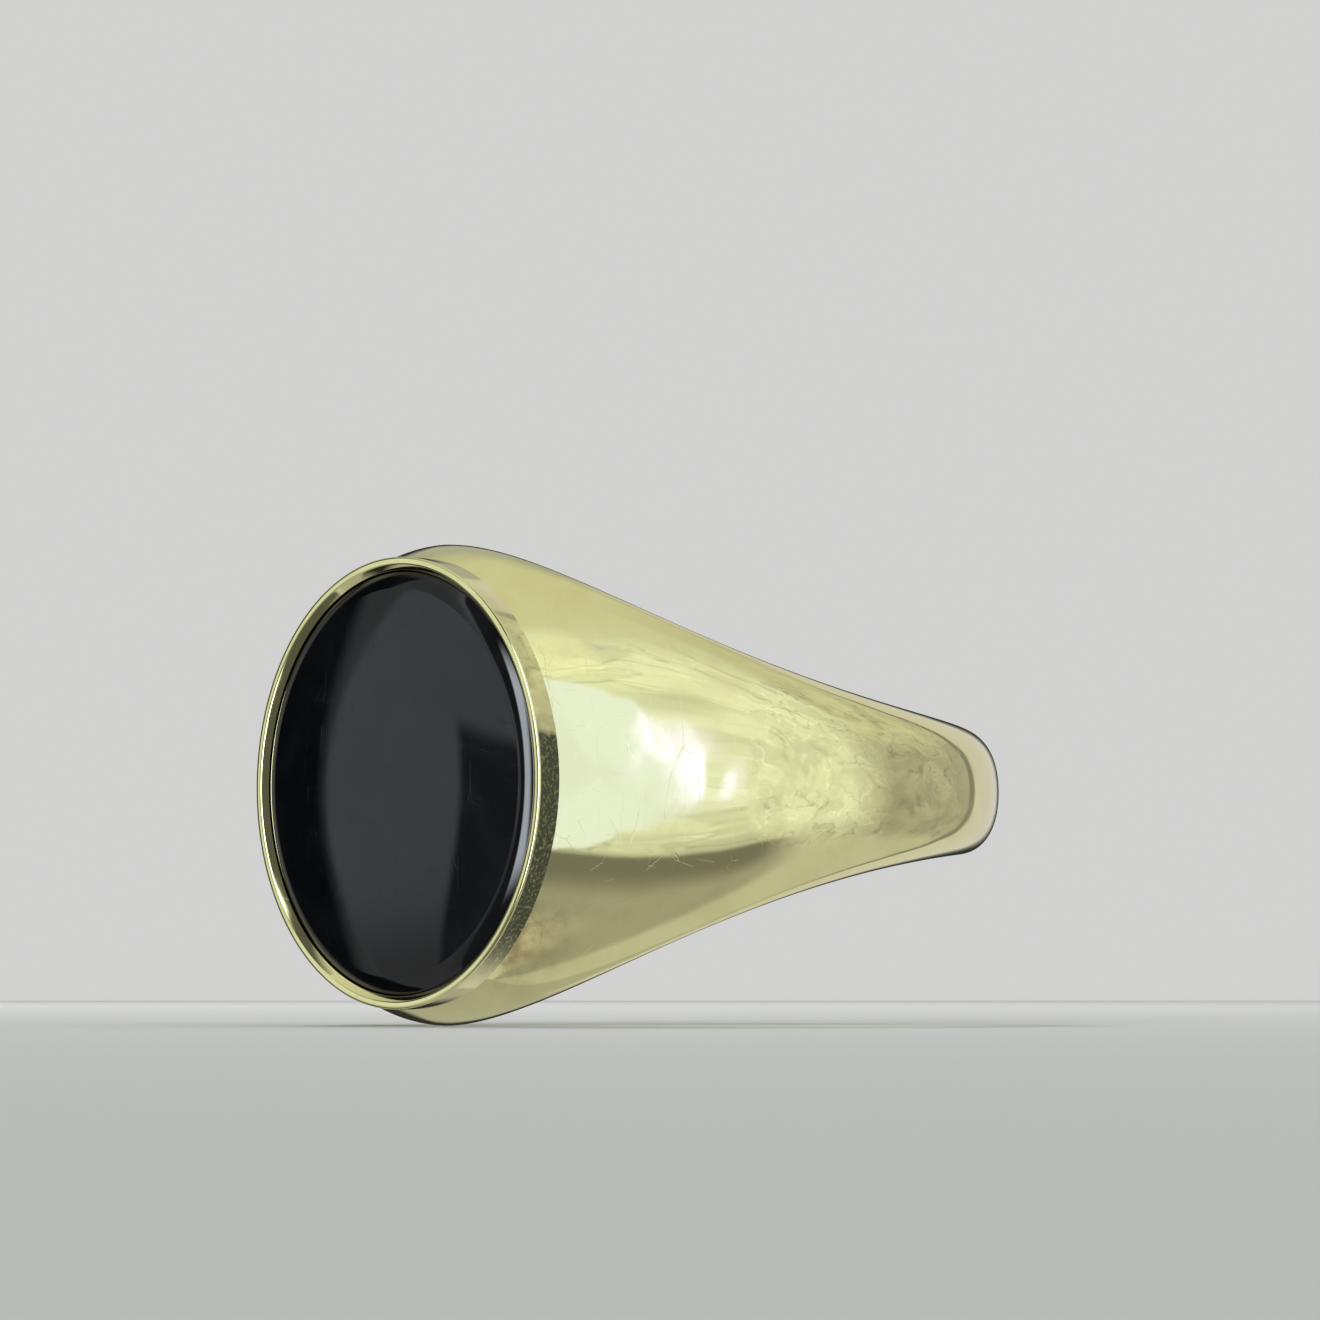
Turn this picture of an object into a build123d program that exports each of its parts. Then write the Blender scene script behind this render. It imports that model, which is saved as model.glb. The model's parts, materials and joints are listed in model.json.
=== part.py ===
"""A signet ring: a cast gold body with an oval socket in its head, a gold collet
soldered into the socket, and a black onyx tablet bedded in cement inside it.

The ring lies on its side. The finger bore runs along Z through the origin, and
the signet face looks along -Y. All lengths are in millimetres.
"""

import os
from math import acos, atan2, cos, degrees, exp, hypot, log, radians, sin

from build123d import *

# Finger bore and shank
bore_diameter = 19.0
shank_width = 3.8  # along the finger, at the back of the ring
shank_thickness = 1.6  # at the back of the ring
shank_side = 0.3  # straight side of the D section, between the bore and its dome
bore_edge_radius = 0.25  # rounding that makes the ring comfortable to wear

# Onyx tablet
stone_length = 13.2  # along the finger
stone_width = 11.1  # across the finger
girdle_height = 1.25  # straight edge of the stone
bevel_width = 0.5  # slope between the edge and the crown
bevel_height = 0.3
crown_rise = 0.25  # dome of the polished top above its bevel
stone_foot_bevel = 0.2  # small bevel round the underside

# Collet and its setting
collet_wall = 0.3
lip_overlap = 0.1  # how far the rim is burnished over the stone
lip_height = 0.3  # rim above the top of the stone's straight edge
rim_bevel = 0.18  # width of the bright cut inside the rim
cement_thickness = 0.25
floor_thickness = 0.9  # gold between the cement and the bore

# Head and shoulders of the body
collar_height = 0.8  # collet left standing above the shoulders
apex_height = 3.3  # above the rim, where the two shoulders would meet over the stone
apex_softness = 1.5  # blend between the shoulders up there
flank_swell = 0.5  # head's overhang past the collet, at each end
flank_height = 0.35  # straight side of the head, next to the bore
shoulder_thickness = 1.85  # where the flat shoulder runs into the round shank
taper_angle = 57.0  # degrees from the face in which the band loses most of its width
taper_power = 1.8  # higher keeps the head's width for longer, then drops faster
thinning_angle = 40.0  # degrees in which the shoulder thins to the shank
head_flatness = 0.55  # how flat the section is over its crown, from 0 to 1
head_squareness = 0.3  # how steep the section's sides are, from 0 to 1
shank_flatness = 0.85
shank_squareness = 0.3

# Sizes that follow from those above
bore_radius = bore_diameter / 2
floor_level = bore_radius + floor_thickness
stone_level = floor_level + cement_thickness
girdle_level = stone_level + girdle_height
face_level = girdle_level + lip_height
stone_half_length = stone_length / 2
stone_half_width = stone_width / 2
collet_half_length = stone_half_length + collet_wall
collet_half_width = stone_half_width + collet_wall
head_half_length = collet_half_length + flank_swell
shoulder_radius = bore_radius + shoulder_thickness
shank_radius = bore_radius + shank_thickness
apex_level = face_level + apex_height

# The flat shoulder starts at the foot of the collet and is tangent to the shoulder
# radius; tangent_angle is where it touches, measured from the face.
foot_level = face_level - collar_height
foot_radius = hypot(collet_half_width, foot_level)
foot_angle = degrees(atan2(collet_half_width, foot_level))
tangent_angle = foot_angle + degrees(acos(shoulder_radius / foot_radius))

section_step = 6  # degrees between the sections of the band
section_margin = 18  # degrees lofted past each mirror plane, so that the halves meet smoothly
inner_margin = 0.6  # material left inside the bore, which the bore then removes


def share_of_head(angle):
    """How much of the head's width is left this far from the face: 1 at the face."""
    return exp(-((angle / taper_angle) ** taper_power))


def half_width(angle):
    """Half of the band's width along the finger."""
    back = shank_width / 2
    return back + (head_half_length - back) * share_of_head(angle)


def crown_radius(angle):
    """Distance from the bore's axis to the middle of the band's outer face."""
    if angle >= tangent_angle:
        past = (angle - tangent_angle) / thinning_angle
        return shank_radius + (shoulder_radius - shank_radius) * exp(-(past**2))
    shoulder = shoulder_radius / cos(radians(tangent_angle - angle))
    apex = apex_level / cos(radians(angle))
    nearer = exp(-shoulder / apex_softness) + exp(-apex / apex_softness)
    return -apex_softness * log(nearer)


def section_plane(angle):
    """A plane through the bore's axis: its X runs outwards and its Y along the finger."""
    a = radians(angle)
    return Plane(origin=(0, 0, 0), x_dir=(sin(a), -cos(a), 0), z_dir=(-cos(a), -sin(a), 0))


def dome(angle):
    """Control points of one section's dome, from its side to its crown."""
    angle = min(abs(angle), 360 - angle)
    share = share_of_head(angle)
    wide = half_width(angle)
    crown = crown_radius(angle)
    side = bore_radius + shank_side + (flank_height - shank_side) * share
    flatness = shank_flatness + (head_flatness - shank_flatness) * share
    squareness = shank_squareness + (head_squareness - shank_squareness) * share
    shoulder = side + squareness * (crown - side)
    return [(side, wide), (shoulder, wide), (crown, flatness * wide), (crown, 0)]


# Onyx tablet: turned as a round stone, then stretched to the oval. Its axis is the
# face's normal, so it is made upright and laid down with the face along -Y.
face_plane = Plane(origin=(0, 0, 0), x_dir=(1, 0, 0), z_dir=(0, -1, 0))

with BuildPart() as round_stone:
    with BuildSketch(Plane.XZ):
        with BuildLine():
            foot = (stone_half_length - stone_foot_bevel, stone_level)
            edge = (stone_half_length, stone_level + stone_foot_bevel)
            girdle = (stone_half_length, girdle_level)
            crown_edge = (stone_half_length - bevel_width, girdle_level + bevel_height)
            apex = (0, girdle_level + bevel_height + crown_rise)
            Polyline((0, stone_level), foot, edge, girdle, crown_edge)
            TangentArc(apex, crown_edge, tangent=(1, 0))
            Line(apex, (0, stone_level))
        make_face()
    revolve(axis=Axis.Z)

with BuildPart() as onyx_tablet:
    add(face_plane * round_stone.part)
    scale(by=(stone_width / stone_length, 1, 1))
onyx_tablet.part.label = "onyx_tablet"

# Cement bed under the stone
with BuildPart() as cement_bed:
    with BuildSketch(face_plane.offset(floor_level)):
        Ellipse(stone_half_width, stone_half_length)
    extrude(amount=cement_thickness)
cement_bed.part.label = "cement_bed"

# Collet: an oval wall that stands on the socket's floor, burnished over the stone
with BuildPart() as bezel_collet:
    with BuildSketch(face_plane.offset(floor_level)):
        Ellipse(collet_half_width, collet_half_length)
        Ellipse(stone_half_width - lip_overlap, stone_half_length - lip_overlap, mode=Mode.SUBTRACT)
    extrude(amount=face_level - floor_level)
    throat = bezel_collet.edges().group_by(Axis.Y)[0].sort_by(SortBy.LENGTH)[0]
    chamfer(throat, length=rim_bevel)
    with BuildSketch(face_plane.offset(floor_level)):
        Ellipse(stone_half_width, stone_half_length)
    extrude(amount=girdle_level - floor_level, mode=Mode.SUBTRACT)
    add(onyx_tablet.part, mode=Mode.SUBTRACT)
bezel_collet.part.label = "bezel_collet"

# Body: half of the band is lofted through its sections and mirrored, then the bore
# and the collet's socket are cut
with BuildPart() as ring_body:
    first, last = -section_margin, 180 + section_margin
    for angle in range(first, last + 1, section_step):
        upper = dome(angle)
        lower = [(out, -along) for out, along in reversed(upper)]
        inside = [(bore_radius - inner_margin, point[1]) for point in (lower[-1], upper[0])]
        with BuildSketch(section_plane(angle)):
            with BuildLine():
                Bezier(*upper)
                Bezier(*lower)
                Polyline(lower[-1], *inside, upper[0])
            make_face()
    loft()
    split(bisect_by=Plane.YZ, keep=Keep.TOP)
    mirror(about=Plane.YZ)
    Cylinder(bore_radius, 4 * head_half_length, mode=Mode.SUBTRACT)
    bore_wall = ring_body.faces().filter_by(GeomType.CYLINDER)
    mouth = bore_wall.edges().filter_by(lambda edge: abs(edge.center().Z) > shank_width / 4)
    fillet(mouth, bore_edge_radius)
    with BuildSketch(face_plane.offset(floor_level)):
        Ellipse(collet_half_width, collet_half_length)
    extrude(amount=2 * head_half_length, mode=Mode.SUBTRACT)
ring_body.part.label = "ring_body"

os.makedirs("parts", exist_ok=True)
for piece in (ring_body, bezel_collet, cement_bed, onyx_tablet):
    export_step(piece.part, f"parts/{piece.part.label}.step")
    print(piece.part.label, "volume", round(piece.part.volume, 2), "mm3")
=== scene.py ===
# %% [markdown]
# # A signet ring in pale gold and black onyx
#
# The ring has four pieces: a cast gold body, a gold collet soldered into its head, a
# bed of cement, and an onyx tablet held by the collet's burnished edge. The packed
# model gives every size and place. It is loaded first and never moved.

import json
from math import acos, atan2, cos, degrees, exp, hypot, log, pi, radians, sin

import bmesh
import bpy
from mathutils import Matrix, Vector


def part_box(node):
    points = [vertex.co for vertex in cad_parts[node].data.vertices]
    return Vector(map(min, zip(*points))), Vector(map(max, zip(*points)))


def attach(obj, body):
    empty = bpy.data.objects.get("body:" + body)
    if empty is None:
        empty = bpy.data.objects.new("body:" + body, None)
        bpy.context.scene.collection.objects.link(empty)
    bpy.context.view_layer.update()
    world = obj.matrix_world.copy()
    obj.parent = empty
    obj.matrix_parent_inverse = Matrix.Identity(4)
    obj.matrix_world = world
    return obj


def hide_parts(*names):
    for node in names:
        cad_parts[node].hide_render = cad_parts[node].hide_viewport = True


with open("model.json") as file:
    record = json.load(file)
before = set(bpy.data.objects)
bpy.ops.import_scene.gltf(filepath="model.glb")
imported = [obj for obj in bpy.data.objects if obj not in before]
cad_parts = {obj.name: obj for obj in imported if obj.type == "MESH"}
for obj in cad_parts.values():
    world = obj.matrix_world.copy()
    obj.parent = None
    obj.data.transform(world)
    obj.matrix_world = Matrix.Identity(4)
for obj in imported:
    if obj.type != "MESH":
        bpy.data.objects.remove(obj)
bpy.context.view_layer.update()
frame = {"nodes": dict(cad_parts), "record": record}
MM = 0.001
print("nodes", sorted(frame["nodes"]))

# %% [markdown]
# ## Sizes
#
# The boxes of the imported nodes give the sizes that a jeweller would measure: the stone,
# the collet round it, the head and the shank. The face looks along -Y, so a level above
# the bore's axis is a distance along -Y. Everything here is in millimetres.

# %% Read the sizes
stone_low, stone_high = (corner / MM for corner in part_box("onyx_tablet"))
collet_low, collet_high = (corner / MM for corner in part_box("bezel_collet"))
body_low, body_high = (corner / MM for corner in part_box("ring_body"))
bore_radius = frame["record"]["mounts"][0]["dims"]["r_mm"]

stone_half_width = stone_high[0]
stone_half_length = stone_high[2]
stone_level = -stone_high[1]
apex_level = -stone_low[1]
collet_half_width = collet_high[0]
collet_half_length = collet_high[2]
face_level = -collet_low[1]
floor_level = -collet_high[1]
head_half_length = body_high[2]
shank_radius = body_high[1]
print("stone", stone_half_width * 2, stone_half_length * 2, "face", face_level, "head", head_half_length)

# %% [markdown]
# ## Working helpers
#
# Every piece is shaped in a bmesh, in millimetres, and then becomes one object. Doubles
# are merged and the faces are turned outwards first, because a spin can leave a shape
# inside out. The object stays at the origin, with its place in its mesh.

# %% Turn a shape into a piece
SHARP = radians(32)  # an edge that turns more than this stays crisp
MERGE_DISTANCE = 0.0005  # points nearer than this become one


def make_piece(shape, name, replaced):
    bmesh.ops.remove_doubles(shape, verts=shape.verts, dist=MERGE_DISTANCE)
    bmesh.ops.recalc_face_normals(shape, faces=shape.faces)
    bmesh.ops.scale(shape, vec=(MM, MM, MM), verts=shape.verts)
    mesh = bpy.data.meshes.new(name)
    shape.to_mesh(mesh)
    shape.free()
    mesh.shade_smooth()
    mesh.set_sharp_from_angle(angle=SHARP)
    piece = bpy.data.objects.new(name, mesh)
    bpy.context.scene.collection.objects.link(piece)
    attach(piece, "root")
    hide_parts(replaced)
    triangles = sum(len(face.vertices) - 2 for face in mesh.polygons)
    print(name, triangles, "triangles")
    return piece


# %% [markdown]
# ## The body's shape
#
# A caster's wax for a signet ring starts as a plain band and is filed down from a tall,
# wide head to a narrow shank. The shape follows a few laws of the angle round the finger,
# measured from the face: how wide the band is, how tall its crown stands, and how full
# its section is. The two shoulders are straight when seen along the finger.

# %% Laws of the band
COLLAR_HEIGHT = 0.8  # collet left standing above the shoulders
SHOULDER_THICKNESS = 1.85  # where the flat shoulder runs into the round shank
SHANK_HALF_WIDTH = 1.9
BORE_EDGE_RADIUS = 0.25
TAPER_ANGLE, TAPER_POWER = 57.0, 1.8  # degrees, and how long the head keeps its width
THINNING_ANGLE = 40.0  # degrees in which the shoulder thins to the shank
APEX_HEIGHT = 3.3  # above the rim, where the two shoulders would meet
SHOULDERS_BLEND = 1.5

shoulder_radius = bore_radius + SHOULDER_THICKNESS
shoulders_meet = face_level + APEX_HEIGHT
foot_radius = hypot(collet_half_width, face_level - COLLAR_HEIGHT)
foot_angle = degrees(atan2(collet_half_width, face_level - COLLAR_HEIGHT))
tangent_angle = foot_angle + degrees(acos(shoulder_radius / foot_radius))
print("shoulders touch the round shank at", round(tangent_angle, 1), "degrees")


def blend(at_head, at_shank, angle):
    """A measure this many degrees from the face, between its values at head and shank."""
    share = exp(-((angle / TAPER_ANGLE) ** TAPER_POWER))
    return at_shank + (at_head - at_shank) * share


def crown_radius(angle):
    """Distance from the bore's axis to the middle of the band's outer face."""
    if angle >= tangent_angle:
        past = (angle - tangent_angle) / THINNING_ANGLE
        return shank_radius + (shoulder_radius - shank_radius) * exp(-(past**2))
    shoulder = shoulder_radius / cos(radians(tangent_angle - angle))
    meeting = shoulders_meet / cos(radians(angle))
    nearer = exp(-shoulder / SHOULDERS_BLEND) + exp(-meeting / SHOULDERS_BLEND)
    return -SHOULDERS_BLEND * log(nearer)


# %% [markdown]
# One section of the band is a closed outline: a dome over the crown, a short straight
# side, a rounded mouth and the straight bore. A point on it is named by its turn, from
# 0 degrees at the crown to 180 degrees at the middle of the bore.

# %% One section of the band
DOME_END, SIDE_END, MOUTH_END = 126.0, 132.0, 150.0  # turns, in degrees
HEAD_SIDE, SHANK_SIDE = 0.35, 0.3  # straight side, next to the bore
HEAD_FLATNESS, SHANK_FLATNESS = 0.55, 0.85  # how flat the dome is over its crown
STEEPNESS = 0.3  # how far up the dome its sides stay steep


def section_point(angle, turn):
    """How far out from the bore's axis a point is, and how far along the finger."""
    wide = blend(head_half_length, SHANK_HALF_WIDTH, angle)
    crown = crown_radius(angle)
    side = bore_radius + blend(HEAD_SIDE, SHANK_SIDE, angle)
    rounded = bore_radius + BORE_EDGE_RADIUS
    if turn <= DOME_END:
        t = 1 - turn / DOME_END
        tall = crown - side
        steep = side + STEEPNESS * tall
        flat = blend(HEAD_FLATNESS, SHANK_FLATNESS, angle) * wide
        rise = (1 - t) ** 3, 3 * (1 - t) ** 2 * t, 3 * (1 - t) * t**2, t**3
        out = rise[0] * side + rise[1] * steep + (rise[2] + rise[3]) * crown
        return out, (rise[0] + rise[1]) * wide + rise[2] * flat
    if turn <= SIDE_END:
        down = (turn - DOME_END) / (SIDE_END - DOME_END)
        return side + (rounded - side) * down, wide
    if turn <= MOUTH_END:
        bend = pi / 2 * (turn - SIDE_END) / (MOUTH_END - SIDE_END)
        drop = BORE_EDGE_RADIUS
        return rounded - drop * sin(bend), wide - drop + drop * cos(bend)
    along = (180 - turn) / (180 - MOUTH_END)
    return bore_radius, along * (wide - BORE_EDGE_RADIUS)


# %% [markdown]
# The band is spun from a small circle, as a plain wire ring would be turned. Then each
# point moves to its place on the section at its own angle. A spin gives even rows round
# the finger, so the polish shows no facets. Last, the seat for the collet is cut: the
# points under the stone are sunk to the socket's floor, where the collet's wall hides
# the step.

# %% Spin and shape the body
WIRE_RADIUS = 1.0
BAND_ROWS, SECTION_POINTS = 540, 140
SEAT_MARGIN = 0.28  # the step stays this far inside the collet's outer wall

body = bmesh.new()
upright = Matrix.Translation((shank_radius, 0, 0)) @ Matrix.Rotation(pi / 2, 4, "X")
bmesh.ops.create_circle(
    body, cap_ends=False, segments=SECTION_POINTS, radius=WIRE_RADIUS, matrix=upright
)
bmesh.ops.spin(
    body,
    geom=body.verts[:] + body.edges[:],
    cent=(0, 0, 0),
    axis=(0, 0, 1),
    angle=2 * pi,
    steps=BAND_ROWS,
    use_merge=True,
)
for vert in body.verts:
    x, y, z = vert.co
    angle = atan2(x, -y)
    turn = degrees(atan2(z, hypot(x, y) - shank_radius))
    out, along = section_point(abs(degrees(angle)), abs(turn))
    along = along if turn > 0 else -along
    vert.co = (out * sin(angle), -out * cos(angle), along)
    across = vert.co.x / (collet_half_width - SEAT_MARGIN)
    over = along / (collet_half_length - SEAT_MARGIN)
    if across**2 + over**2 < 1 and -vert.co.y > floor_level:
        vert.co.y = -floor_level
gold_body = make_piece(body, "gold_ring_body", "ring_body")

# %% [markdown]
# ## The collet
#
# The collet is a strip of gold bent to an oval and soldered into the head. Its upper
# edge is rubbed over the stone and then bright cut, which leaves a narrow flat rim and a
# slope that meets the stone. It is spun as a round ring from its cross-section, and the
# round is then squeezed to the oval. The squeeze moves points sideways by the same
# amount at any depth, so the wall keeps its thickness all the way round.

# %% Spin the collet
COLLET_WALL = 0.3
LIP_OVERLAP = 0.1  # how far the rim is rubbed over the stone
LIP_HEIGHT = 0.3  # rim above the top of the stone's straight edge
RIM_BEVEL = 0.18  # width of the bright cut inside the rim
RIM_ROUNDING, SLOPE_ROUNDING = (0.07, 5), (0.03, 3)  # width and segments
OVAL_STEPS = 288
CORNER_REACH = 0.003  # a point this near a corner's circle belongs to it


def lay_down(shape):
    """Turns a shape made upright, with its axis along Z, so that its top looks along -Y."""
    bmesh.ops.rotate(shape, cent=(0, 0, 0), matrix=Matrix.Rotation(pi / 2, 3, "X"), verts=shape.verts)


def spin_profile(points):
    """Spins a cross-section, given as radius and level, into a round shape."""
    shape = bmesh.new()
    verts = [shape.verts.new((radius, 0, level)) for radius, level in points]
    edges = [shape.edges.new(pair) for pair in zip(verts, verts[1:])]
    bmesh.ops.spin(
        shape,
        geom=verts + edges,
        cent=(0, 0, 0),
        axis=(0, 0, 1),
        angle=2 * pi,
        steps=OVAL_STEPS,
        use_merge=True,
    )
    bmesh.ops.remove_doubles(shape, verts=shape.verts, dist=MERGE_DISTANCE)
    bmesh.ops.recalc_face_normals(shape, faces=shape.faces)
    return shape


girdle_level = face_level - LIP_HEIGHT
outer = collet_half_length
inner = outer - COLLET_WALL
throat = inner - LIP_OVERLAP
collet = spin_profile(
    [
        (inner, floor_level),
        (outer, floor_level),
        (outer, face_level),
        (throat + RIM_BEVEL, face_level),
        (throat, face_level - RIM_BEVEL),
        (inner, girdle_level),
        (inner, floor_level),
    ]
)


def ring_edges(shape, radius, level):
    """The edges of the circle that a corner of the profile left."""

    def on_circle(vert):
        aside = abs(hypot(vert.co.x, vert.co.y) - radius)
        return aside < CORNER_REACH and abs(vert.co.z - level) < CORNER_REACH

    return [edge for edge in shape.edges if all(on_circle(vert) for vert in edge.verts)]


def soften(shape, edges, offset, segments):
    """Rounds edges off, as a polishing mop does."""
    bmesh.ops.bevel(
        shape,
        geom=edges,
        offset=offset,
        segments=segments,
        profile=0.5,
        affect="EDGES",
        material=-1,
    )


soften(collet, ring_edges(collet, outer, face_level), *RIM_ROUNDING)
soften(collet, ring_edges(collet, throat + RIM_BEVEL, face_level), *SLOPE_ROUNDING)
narrower = collet_half_length - collet_half_width
for vert in collet.verts:
    vert.co.x -= narrower * vert.co.x / hypot(vert.co.x, vert.co.y)
lay_down(collet)
gold_collet = make_piece(collet, "gold_collet", "bezel_collet")

# %% [markdown]
# ## The onyx
#
# The stone is a flat tablet, ground to an oval, with a bevel round its edge and a top
# that is very slightly domed by the polishing lap. It is turned from its profile and
# squeezed across, as the collet is. The laps leave no razor edges, so the edges on both
# sides of the bevel are rounded a little.

# %% Turn the stone
BEVEL_WIDTH, BEVEL_HEIGHT = 0.5, 0.3
FOOT_BEVEL = 0.2
CROWN_ROUNDING, EDGE_ROUNDING = (0.24, 8), (0.04, 3)  # width and segments
DOME_RINGS = 40
DOME_POWER = 3  # the lap takes more off near the edge, so the middle stays flatter than an arc

crown_edge = stone_half_length - BEVEL_WIDTH
crown_level = girdle_level + BEVEL_HEIGHT
dome = [crown_edge * ring / DOME_RINGS for ring in range(DOME_RINGS + 1)]
crown_rise = apex_level - crown_level
profile = [(radius, apex_level - crown_rise * (radius / crown_edge) ** DOME_POWER) for radius in dome]
profile += [
    (stone_half_length, girdle_level),
    (stone_half_length, stone_level + FOOT_BEVEL),
    (stone_half_length - FOOT_BEVEL, stone_level),
    (0, stone_level),
]
stone = spin_profile(profile)
soften(stone, ring_edges(stone, crown_edge, crown_level), *CROWN_ROUNDING)
soften(stone, ring_edges(stone, stone_half_length, girdle_level), *EDGE_ROUNDING)
bmesh.ops.scale(stone, vec=(stone_half_width / stone_half_length, 1, 1), verts=stone.verts)
lay_down(stone)
onyx = make_piece(stone, "onyx_stone", "onyx_tablet")

# %% [markdown]
# ## Wear and polish
#
# Handled gold and stone carry the same marks at different strengths: hair scratches that
# run in all directions, and faint smudges that blur the shine in places. One node group
# makes both from the piece's own coordinates in millimetres. Hair scratches are the thin
# borders between the cells of a stretched Voronoi pattern, broken up by noise. The
# group puts out a height for the bump and a mask for the roughness.

# %% Node helpers
def add_node(tree, kind, **settings):
    node = tree.nodes.new(kind)
    for key, value in settings.items():
        setattr(node, key, value)
    return node


def math_node(tree, operation, first, second=0.0):
    node = add_node(tree, "ShaderNodeMath", operation=operation)
    for socket, value in zip(node.inputs, (first, second)):
        if hasattr(value, "links"):
            tree.links.new(value, socket)
        else:
            socket.default_value = value
    return node.outputs[0]


def ramp(tree, value, low, high, to_low=0.0, to_high=1.0):
    """A smooth step from to_low to to_high, while the value goes from low to high."""
    node = add_node(tree, "ShaderNodeMapRange", interpolation_type="SMOOTHSTEP")
    tree.links.new(value, node.inputs["Value"])
    node.inputs["From Min"].default_value = low
    node.inputs["From Max"].default_value = high
    node.inputs["To Min"].default_value = to_low
    node.inputs["To Max"].default_value = to_high
    return node.outputs["Result"]


def noise(tree, vector, scale, detail=3.0, rough=0.5, distortion=0.0):
    node = add_node(tree, "ShaderNodeTexNoise")
    node.inputs["Scale"].default_value = scale
    node.inputs["Detail"].default_value = detail
    node.inputs["Roughness"].default_value = rough
    node.inputs["Distortion"].default_value = distortion
    tree.links.new(vector, node.inputs["Vector"])
    return node.outputs["Fac"]


# %% Handling wear, as a node group
SCRATCH_LAYERS = (  # turn, stretch, scale, width, and how much is rubbed out
    ((0.3, 0.2, 0.9), (1.0, 1.0, 0.10), 0.9, 0.006, 0.50),
    ((1.1, 0.7, 0.2), (0.12, 1.0, 1.0), 1.1, 0.005, 0.54),
    ((0.6, 1.4, 2.1), (1.0, 0.2, 1.0), 1.7, 0.006, 0.56),
)
SCRATCH_SMUDGE = 0.6  # how much a scratch also blurs the shine


def hair_scratches(tree, vector, turn, stretch, scale, width, rubbed):
    """Broken hair lines: 1 on a scratch, 0 off it."""
    place = add_node(tree, "ShaderNodeMapping")
    place.inputs["Rotation"].default_value = turn
    place.inputs["Scale"].default_value = stretch
    tree.links.new(vector, place.inputs["Vector"])
    cells = add_node(tree, "ShaderNodeTexVoronoi", feature="DISTANCE_TO_EDGE")
    cells.inputs["Scale"].default_value = scale
    tree.links.new(place.outputs["Vector"], cells.inputs["Vector"])
    line = ramp(tree, cells.outputs["Distance"], 0.0, width, 1.0, 0.0)
    broken = ramp(tree, noise(tree, vector, 0.9 * scale, 2.0), rubbed, rubbed + 0.08)
    return math_node(tree, "MULTIPLY", line, broken)


def make_wear_group():
    tree = bpy.data.node_groups.new("handling wear", "ShaderNodeTree")
    tree.interface.new_socket("Place", in_out="INPUT", socket_type="NodeSocketVector")
    strength = tree.interface.new_socket("Scratches", in_out="INPUT", socket_type="NodeSocketFloat")
    strength.default_value = 1.0
    tree.interface.new_socket("Height", in_out="OUTPUT", socket_type="NodeSocketFloat")
    tree.interface.new_socket("Smudge", in_out="OUTPUT", socket_type="NodeSocketFloat")
    given = add_node(tree, "NodeGroupInput")
    result = add_node(tree, "NodeGroupOutput")
    place = given.outputs["Place"]
    total = 0.0
    for layer in SCRATCH_LAYERS:
        line = hair_scratches(tree, place, *layer)
        total = math_node(tree, "MAXIMUM", total, line)
    scratched = math_node(tree, "MULTIPLY", total, given.outputs["Scratches"])
    height = math_node(tree, "SUBTRACT", 1.0, scratched)
    tree.links.new(height, result.inputs["Height"])
    cloud = ramp(tree, noise(tree, place, 0.55, 4.0, 0.6, 0.4), 0.42, 0.68)
    smudge = math_node(tree, "MAXIMUM", cloud, math_node(tree, "MULTIPLY", total, SCRATCH_SMUDGE))
    tree.links.new(smudge, result.inputs["Smudge"])
    return tree


wear = make_wear_group()
print("wear group has", len(wear.nodes), "nodes")

# %% [markdown]
# ## Gold
#
# Nine carat gold is paler and greener than pure gold. A hand polish leaves it bright but
# not flat: the surface waves a little, so reflections of straight edges wander. The waves
# are a slow, low bump, and the hair scratches a fine one on top of it. A painted shade,
# dull and olive, darkens the lower half of each side of the collet's wall, where it stands
# for a dark reflection, and a faint painted brown reflection lies on the shoulder beside
# its foot. Both are masks from the piece's own coordinates, broken up by noise.

# %% Gold material
GOLD, SMUDGED_GOLD = (0.90, 0.87, 0.45, 1), (0.85, 0.81, 0.41, 1)
GOLD_SCRATCH_DEPTH = 0.0000006  # metres


def new_material(name):
    """A material whose patterns are placed by the piece's own coordinates, in millimetres."""
    material = bpy.data.materials.new(name)
    material.use_nodes = True
    tree = material.node_tree
    shader = tree.nodes["Principled BSDF"]
    coordinates = add_node(tree, "ShaderNodeTexCoord")
    millimetres = add_node(tree, "ShaderNodeMapping")
    millimetres.inputs["Scale"].default_value = (1 / MM, 1 / MM, 1 / MM)
    tree.links.new(coordinates.outputs["Object"], millimetres.inputs["Vector"])
    return material, tree, shader, millimetres.outputs["Vector"]


def add_wear(tree, place, scratches):
    group = add_node(tree, "ShaderNodeGroup", node_tree=wear)
    group.inputs["Scratches"].default_value = scratches
    tree.links.new(place, group.inputs["Place"])
    return group


def bump(tree, height, distance, below=None):
    node = add_node(tree, "ShaderNodeBump")
    node.inputs["Strength"].default_value = 1.0
    node.inputs["Distance"].default_value = distance
    tree.links.new(height, node.inputs["Height"])
    if below is not None:
        tree.links.new(below, node.inputs["Normal"])
    return node.outputs["Normal"]


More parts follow.
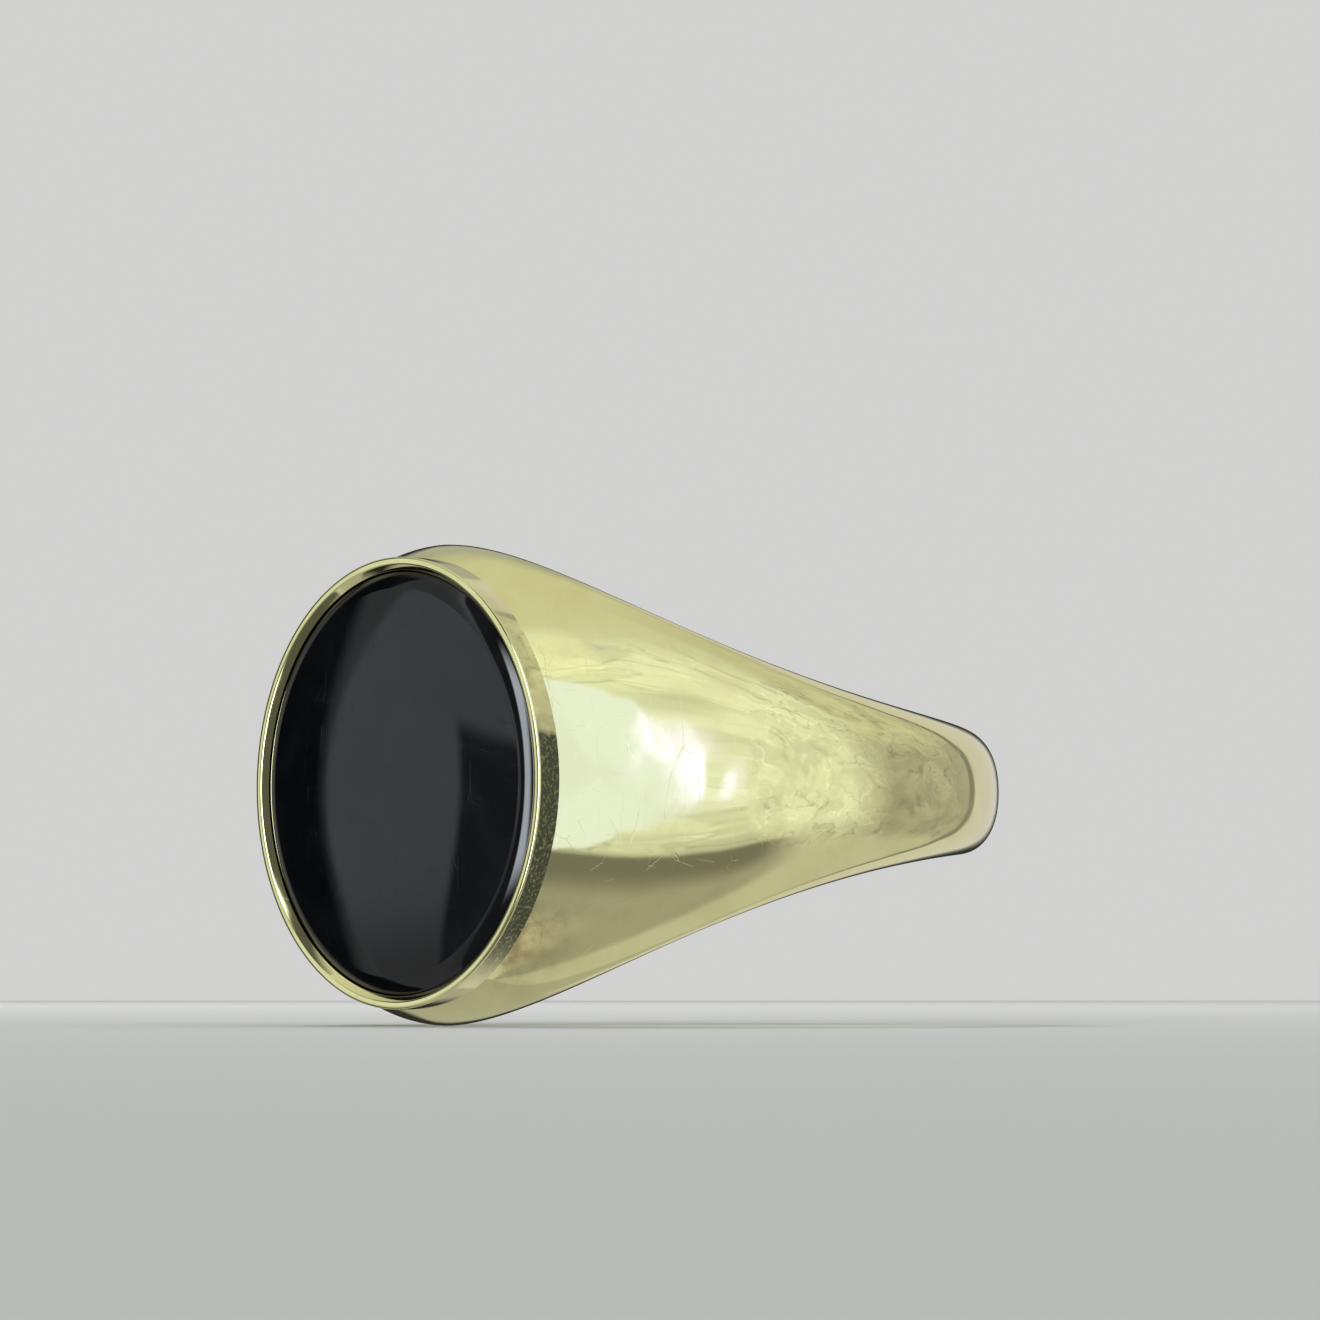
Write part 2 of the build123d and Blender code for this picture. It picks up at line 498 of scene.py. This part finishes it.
def make_gold(name, scratches, smooth, blurred, wave, painted_light_mask, painted_light_colour, dullness):
    material, tree, shader, place = new_material(name)
    marks = add_wear(tree, place, scratches)
    tone = add_node(tree, "ShaderNodeMix", data_type="RGBA")
    tone.inputs["A"].default_value = GOLD
    tone.inputs["B"].default_value = SMUDGED_GOLD
    tree.links.new(marks.outputs["Smudge"], tone.inputs["Factor"])
    # Lays the painted shade on the collet, and the painted brown reflection on the body, over the gold's
    # colour, and dulls the polish there
    mask = painted_light_mask(tree, place)
    painted_tone = add_node(tree, "ShaderNodeMix", data_type="RGBA")
    tree.links.new(mask, painted_tone.inputs["Factor"])
    tree.links.new(tone.outputs["Result"], painted_tone.inputs["A"])
    painted_tone.inputs["B"].default_value = painted_light_colour
    tree.links.new(painted_tone.outputs["Result"], shader.inputs["Base Color"])
    shader.inputs["Metallic"].default_value = 1.0
    polish = ramp(tree, marks.outputs["Smudge"], 0.0, 1.0, smooth, blurred)
    dull = math_node(tree, "MULTIPLY", mask, dullness)
    tree.links.new(math_node(tree, "MAXIMUM", polish, dull), shader.inputs["Roughness"])
    waves = bump(tree, noise(tree, place, 0.45, 1.5, 0.4), wave)
    lines = bump(tree, marks.outputs["Height"], GOLD_SCRATCH_DEPTH, waves)
    tree.links.new(lines, shader.inputs["Normal"])
    return material


# %% Painted shade and painted reflection
# Where the painted shade lies on the collet's wall, and the painted brown reflection beside its foot
WALL_EDGE = 0.955, 0.975  # place on the oval where the outer wall starts
PAINTED_SHADE_TOP, PAINTED_SHADE_END = (1.5, 1.7), (-6.4, -4.2)  # heights on the wall, and their fade
PAINTED_REFLECTION_REACH = 1.0, 1.45  # place on the oval, from the collet's foot outwards
PAINTED_REFLECTION_TOP, PAINTED_REFLECTION_END = (-4.4, -3.2), (-6.8, -5.4)


def oval_place(tree, place):
    """How far out from the face's middle (1 on the collet's outer wall), then Y and Z."""
    parts = add_node(tree, "ShaderNodeSeparateXYZ")
    tree.links.new(place, parts.inputs["Vector"])
    across = math_node(tree, "DIVIDE", parts.outputs["X"], collet_half_width)
    over = math_node(tree, "DIVIDE", parts.outputs["Z"], collet_half_length)
    squares = [math_node(tree, "POWER", part, 2.0) for part in (across, over)]
    return math_node(tree, "ADD", *squares), parts.outputs["Y"], parts.outputs["Z"]


def all_of(tree, *masks):
    """Where every one of the masks is 1."""
    total = masks[0]
    for mask in masks[1:]:
        total = math_node(tree, "MULTIPLY", total, mask)
    return total


def collet_painted_shade(tree, place):
    """Painted shade: dark on the lower half of the wall's sides, clean over the rim, and speckled."""
    outwards, level, along = oval_place(tree, place)
    wall = ramp(tree, outwards, *WALL_EDGE)
    under_rim = ramp(tree, level, 0.03 - face_level, 0.10 - face_level)
    ragged = math_node(tree, "MULTIPLY", noise(tree, place, 1.6, 3.0), 0.5)
    along = math_node(tree, "ADD", along, ragged)
    below = ramp(tree, along, *PAINTED_SHADE_TOP, 1.0, 0.0)
    above = ramp(tree, along, *PAINTED_SHADE_END)
    specks = ramp(tree, noise(tree, place, 9.0, 3.0, 0.7), 0.50, 0.66, 1.0, 0.62)
    return all_of(tree, wall, under_rim, below, above, specks)


def foot_painted_reflection(tree, place):
    """A painted brown reflection: a cloud on the head's outside, beside the lower part of the collet's
    foot.
    """
    outwards, level, along = oval_place(tree, place)
    beside = ramp(tree, outwards, *PAINTED_REFLECTION_REACH, 1.0, 0.0)
    outside = ramp(tree, level, -floor_level, -bore_radius, 1.0, 0.0)
    below = ramp(tree, along, *PAINTED_REFLECTION_TOP, 1.0, 0.0)
    above = ramp(tree, along, *PAINTED_REFLECTION_END)
    cloud = ramp(tree, noise(tree, place, 1.1, 4.0, 0.6), 0.35, 0.65, 0.25, 0.75)
    return all_of(tree, beside, outside, below, above, cloud)


# %% Both golds
# Colours of the painted shade on the collet and of the painted brown reflection on the body
OLIVE_PAINTED_SHADE = (0.11, 0.12, 0.07, 1)
BROWN_PAINTED_REFLECTION = (0.34, 0.22, 0.09, 1)
polished_gold = make_gold(
    "polished gold", 1.0, 0.045, 0.09, 0.00002, foot_painted_reflection, BROWN_PAINTED_REFLECTION, 0.25
)
cut_gold = make_gold(
    "bright cut gold", 0.5, 0.05, 0.10, 0.000005, collet_painted_shade, OLIVE_PAINTED_SHADE, 0.45
)
gold_body.data.materials.append(polished_gold)
gold_collet.data.materials.append(cut_gold)

# %% [markdown]
# ## Onyx and cement
#
# Polished onyx is black glass to the eye: almost no colour of its own, and a clear
# reflection. Years of wear leave very faint smudges on the table. The cement is a
# filled resin, matt and grey, with fine grains.

# %% Onyx material
def make_onyx():
    material, tree, shader, place = new_material("polished black onyx")
    marks = add_wear(tree, place, 0.35)
    bands = ramp(tree, noise(tree, place, 0.35, 3.0, 0.5, 1.2), 0.35, 0.7)
    tone = add_node(tree, "ShaderNodeMix", data_type="RGBA")
    tone.inputs["A"].default_value = (0.0015, 0.002, 0.003, 1)
    tone.inputs["B"].default_value = (0.005, 0.0055, 0.0065, 1)
    tree.links.new(bands, tone.inputs["Factor"])
    tree.links.new(tone.outputs["Result"], shader.inputs["Base Color"])
    shader.inputs["IOR"].default_value = 1.54
    rough = ramp(tree, marks.outputs["Smudge"], 0.0, 1.0, 0.02, 0.06)
    tree.links.new(rough, shader.inputs["Roughness"])
    lines = bump(tree, marks.outputs["Height"], 0.0000008)
    tree.links.new(lines, shader.inputs["Normal"])
    return material


def make_cement():
    material, tree, shader, place = new_material("setting cement")
    grains = noise(tree, place, 9.0, 4.0, 0.6)
    tone = add_node(tree, "ShaderNodeMix", data_type="RGBA")
    tone.inputs["A"].default_value = (0.20, 0.19, 0.17, 1)
    tone.inputs["B"].default_value = (0.34, 0.32, 0.29, 1)
    tree.links.new(grains, tone.inputs["Factor"])
    tree.links.new(tone.outputs["Result"], shader.inputs["Base Color"])
    shader.inputs["Roughness"].default_value = 0.85
    tree.links.new(bump(tree, grains, 0.00002), shader.inputs["Normal"])
    return material


onyx.data.materials.append(make_onyx())
cement_bed = frame["nodes"]["cement_bed"]
cement_bed.material_slots[0].material = make_cement()

# %% [markdown]
# ## Studio
#
# A ring is all reflections, so the studio is part of its look, and this one is more than
# a plain soft box. The floor is plain and pale. It is kept out of the reflections, so that
# the gold mirrors the soft boxes right down to the table, as it does when a ring is lit on
# a small stand.

# %% Floor
FLOOR_RADIUS = 600
FLOOR_GAP = 0.005  # below the ring
disc = bmesh.new()
bmesh.ops.create_circle(disc, cap_ends=True, segments=128, radius=FLOOR_RADIUS)
bmesh.ops.translate(disc, vec=(0, 0, body_low[2] - FLOOR_GAP), verts=disc.verts)
bmesh.ops.scale(disc, vec=(MM, MM, MM), verts=disc.verts)
floor_mesh = bpy.data.meshes.new("studio_floor")
disc.to_mesh(floor_mesh)
disc.free()
floor_material = bpy.data.materials.new("pale floor")
floor_material.use_nodes = True
floor_shader = floor_material.node_tree.nodes["Principled BSDF"]
floor_shader.inputs["Base Color"].default_value = (0.66, 0.66, 0.65, 1)
floor_shader.inputs["Roughness"].default_value = 0.7
floor_mesh.materials.append(floor_material)
studio_floor = bpy.data.objects.new("studio_floor", floor_mesh)
studio_floor.visible_glossy = False
bpy.context.scene.collection.objects.link(studio_floor)

# %% [markdown]
# The room round the ring is drawn as soft panels of light on a dim ground. A panel is a
# stretch of bearing and height, both in degrees, and each one is laid over those before
# it. Bearings run round from the face's side of the ring towards the right. The panels
# belong to the studio: in another room, the same ring shows other patches and bands.

# %% Room
world = bpy.data.worlds.new("studio room")
bpy.context.scene.world = world
world.use_nodes = True
room = world.node_tree
FIRST_BEARING = -60  # bearings run from here, all the way round


def room_bearings(look):
    """The bearing and height, in degrees, of the part of the room that is looked at."""
    turned = add_node(room, "ShaderNodeVectorRotate", rotation_type="Z_AXIS")
    turned.inputs["Angle"].default_value = radians(-(FIRST_BEARING + 180))
    room.links.new(look, turned.inputs["Vector"])
    parts = add_node(room, "ShaderNodeSeparateXYZ")
    room.links.new(turned.outputs["Vector"], parts.inputs["Vector"])
    back = math_node(room, "MULTIPLY", parts.outputs["Y"], -1.0)
    around = math_node(room, "ARCTAN2", parts.outputs["X"], back)
    bearing = math_node(room, "ADD", math_node(room, "DEGREES", around), FIRST_BEARING + 180)
    height = math_node(room, "DEGREES", math_node(room, "ARCSINE", parts.outputs["Z"]))
    return bearing, height


look = add_node(room, "ShaderNodeTexCoord").outputs["Generated"]
bearing, height = room_bearings(look)


def lay_over(light, mask, shade):
    """Lays a shade of light over the room's light so far, where the mask is 1."""
    laid = add_node(room, "ShaderNodeMix", data_type="RGBA")
    room.links.new(mask, laid.inputs["Factor"])
    for value, socket in ((light, laid.inputs["A"]), (shade, laid.inputs["B"])):
        if hasattr(value, "links"):
            room.links.new(value, socket)
        else:
            socket.default_value = (*value, 1)
    return laid.outputs["Result"]


def grey(level):
    return level, level, level


def band(value, low, high, soft):
    rise = ramp(room, value, low - soft, low + soft)
    fall = ramp(room, value, high - soft, high + soft, 1.0, 0.0)
    return math_node(room, "MULTIPLY", rise, fall)


def panel_mask(bearings, heights, soft):
    across = band(bearing, *bearings, soft[0])
    upright = band(height, *heights, soft[1])
    return math_node(room, "MULTIPLY", across, upright)


def lay_panels(light, panels):
    for bearings, heights, soft, shade in panels:
        light = lay_over(light, panel_mask(bearings, heights, soft), shade)
    return light


def oval_mask(middle, half_sizes, soft, fullness=2.0):
    """A mask for a round-ended lamp: 1 inside. A higher fullness squares the ends."""
    total = 0.0
    for value, centre, half in zip((bearing, height), middle, half_sizes):
        off = math_node(room, "DIVIDE", math_node(room, "SUBTRACT", value, centre), half)
        powered = math_node(room, "POWER", math_node(room, "ABSOLUTE", off), fullness)
        total = math_node(room, "ADD", total, powered)
    distance = math_node(room, "POWER", total, 1 / fullness)
    return ramp(room, distance, 1 - soft, 1 + soft, 1.0, 0.0)


# %% [markdown]
# The walls come first. Each panel has its bearings, its heights, the softness of its
# edges both ways, and its shade. The black curtain behind the ring draws the thin dark
# line along the gold's outline.

# %% Walls and ceiling
ROOM_SHADE = grey(0.44)
walls = (
    ((-100, 400), (54, 120), (9, 14), (0.66, 0.66, 0.59)),  # ceiling
    ((116, 172), (22, 70), (9, 9), (0.60, 0.60, 0.55)),  # wall on the right, above
    ((98, 170), (-90, -24), (6, 4), grey(0.56)),  # and below, down to the table
    ((175, 204), (-50, 48), (1.5, 6), (0.66, 0.64, 0.68)),  # pale wall beyond the shank
    ((171, 175), (-46, 46), (0.8, 6), grey(0.24)),  # dark seam at its near side
    ((206, 240), (-30, 24), (6, 6), grey(0.03)),  # black curtain behind
    ((286, 400), (-60, 46), (6, 6), grey(0.02)),  # dark doorway on the left
    ((-100, -48), (-60, 46), (1.5, 6), grey(0.02)),  # and its near half
    ((-20, 118), (-20, 56), (11, 14), (0.82, 0.87, 0.88)),  # big white box on the right
    ((-20, 71), (28, 58), (3, 7), (0.93, 0.98, 0.93)),  # its bright upper corner
)
light = lay_panels(ROOM_SHADE, walls)

# %% [markdown]
# The white box and the wall beyond it are covered with creased tissue, which the polished
# gold shows as faint facets and wandering lines. Large Voronoi cells, bent by noise, stand
# for the facets. The creases are the contour lines of two noises, one set darker than
# the tissue and the other lighter.

# %% Tissue over the box
TISSUE_BEARINGS, TISSUE_HEIGHTS = (58, 168), (-26, 54)
FACET_SCALE, FACET_BEND = 8.0, (0.3, 0.3, 0.3)
FACET_LIGHT = 0.90, 1.10
CREASES = ((5.0, 0.022, 0.70), (8.0, 0.020, 1.22), (13.0, 0.020, 0.80))  # scale, width, light

bend = add_node(room, "ShaderNodeTexNoise")
bend.inputs["Scale"].default_value = 4.0
bend.inputs["Detail"].default_value = 4.0
room.links.new(look, bend.inputs["Vector"])
bent = add_node(room, "ShaderNodeVectorMath", operation="MULTIPLY_ADD")
room.links.new(bend.outputs["Color"], bent.inputs[0])
bent.inputs[1].default_value = FACET_BEND
room.links.new(look, bent.inputs[2])
facets = add_node(room, "ShaderNodeTexVoronoi")
facets.inputs["Scale"].default_value = FACET_SCALE
room.links.new(bent.outputs["Vector"], facets.inputs["Vector"])
facet = add_node(room, "ShaderNodeSeparateColor")
room.links.new(facets.outputs["Color"], facet.inputs["Color"])
folds = ramp(room, facet.outputs["Red"], 0.0, 1.0, *FACET_LIGHT)
for scale, width, crease_light in CREASES:
    contour = math_node(room, "SUBTRACT", noise(room, bent.outputs["Vector"], scale, 1.0), 0.5)
    near = math_node(room, "ABSOLUTE", contour)
    crease = ramp(room, near, 0.0, width, crease_light, 1.0)
    folds = math_node(room, "MULTIPLY", folds, crease)
tissue = add_node(room, "ShaderNodeMix", data_type="RGBA", blend_type="MULTIPLY")
tissue.inputs["Factor"].default_value = 1.0
room.links.new(light, tissue.inputs["A"])
room.links.new(folds, tissue.inputs["B"])
covered = panel_mask(TISSUE_BEARINGS, TISSUE_HEIGHTS, (5, 6))
light = lay_over(light, covered, tissue.outputs["Result"])

# %% [markdown]
# Inside the box is a cool lamp with a round end, and its hot spot is at that end. Its
# reflection is the long bright patch on the flat shoulder. Below it a dark slot between
# box and table gives the dark band under the patch, which fades towards the table.

# %% Lamp inside the box
lamp = oval_mask((52, 8), (18.6, 31), 0.012, 3.0)
hot_spot = math_node(room, "MULTIPLY", oval_mask((70.4, 9), (1.3, 15), 0.3), lamp)
light = lay_over(light, lamp, (0.89, 1.0, 1.32))
light = lay_over(light, hot_spot, (1.4, 1.4, 2.6))
below_the_box = (
    ((-20, 90), (-60, -21), (9, 1.2), grey(0.19)),  # the dark slot
    ((-20, 98), (-95, -34), (10, 7), grey(0.38)),  # table edge below it
    ((-20, 68), (-100, -50), (8, 6), grey(0.70)),  # table in front
    ((-15, 54), (-66, 62), (2, 6), grey(0.10)),  # camera and hands, which the far rim mirrors
)
light = lay_panels(light, below_the_box)

# %% [markdown]
# On the left are the things that the stone mirrors: a dim round-edged box, darker
# towards its foot, and a dark card in front of its far side. A small lamp near the camera
# catches the stone's bevel.

# %% What the stone mirrors
dim_box = oval_mask((-24, 0), (23.5, 21), 0.03)
light = lay_over(light, dim_box, (0.74, 0.79, 0.79))
foot_shade = math_node(room, "MULTIPLY", dim_box, ramp(room, height, -9, -1, 1.0, 0.0))
light = lay_over(light, foot_shade, grey(0.42))
card_and_lamp = (
    ((-36.5, -20), (-12, 4.5), (0.7, 0.7), grey(0.12)),  # the dark card
    ((13, 31), (-25, 36), (3, 8), (7.0, 7.6, 8.0)),  # the small lamp
)
light = lay_panels(light, card_and_lamp)

# %% [markdown]
# The camera itself sees only an even pale backdrop.

# %% Backdrop
seen = add_node(room, "ShaderNodeLightPath").outputs["Is Camera Ray"]
light = lay_over(light, seen, (0.64, 0.64, 0.635))
room.links.new(light, room.nodes["Background"].inputs["Color"])
room.nodes["Background"].inputs["Strength"].default_value = 1.0

# %% [markdown]
# One broad lamp behind and above throws the ring's shadow forward. It lights the floor,
# and is kept out of the reflections.

# %% Key lamp
KEY_AZIMUTH, KEY_ELEVATION, KEY_DISTANCE = 240, 48, 0.5
KEY_SIZE = 0.16
KEY_POWER = 0.9


def toward(azimuth, elevation, distance):
    """The point at a distance in metres, seen from the ring's centre."""
    a, e = radians(azimuth), radians(elevation)
    return Vector((sin(a) * cos(e), -cos(a) * cos(e), sin(e))) * distance


key_light = bpy.data.lights.new("key_lamp", "AREA")
key_light.shape = "RECTANGLE"
key_light.size = KEY_SIZE
key_light.size_y = KEY_SIZE
key_light.energy = KEY_POWER
key_lamp = bpy.data.objects.new("key_lamp", key_light)
key_lamp.location = toward(KEY_AZIMUTH, KEY_ELEVATION, KEY_DISTANCE)
key_lamp.rotation_euler = key_lamp.location.to_track_quat("Z", "Y").to_euler()
key_lamp.visible_glossy = False
bpy.context.scene.collection.objects.link(key_lamp)

# %% [markdown]
# ## Camera
#
# The camera stands almost level with the ring, a little below its middle, and about 40
# degrees round from the face.

# %% Camera
CAMERA_AZIMUTH, CAMERA_ELEVATION, CAMERA_DISTANCE = 39.87, -1.93, 0.190
LENS = 161.7
AIM_UP, AIM_ACROSS = 1.285, 0.083  # degrees from the ring's centre to the middle of the frame

camera_data = bpy.data.cameras.new("camera")
camera = bpy.data.objects.new("camera", camera_data)
bpy.context.scene.collection.objects.link(camera)
camera_data.lens = LENS
camera_data.sensor_width = 36
camera_data.clip_start, camera_data.clip_end = 0.01, 10
camera.location = toward(CAMERA_AZIMUTH, CAMERA_ELEVATION, CAMERA_DISTANCE)
turn = (-camera.location).to_track_quat("-Z", "Y").to_matrix().to_4x4()
aim = Matrix.Rotation(radians(-AIM_ACROSS), 4, "Y") @ Matrix.Rotation(radians(AIM_UP), 4, "X")
camera.rotation_euler = (turn @ aim).to_euler()
bpy.context.scene.camera = camera
bpy.context.scene.view_settings.view_transform = "Standard"
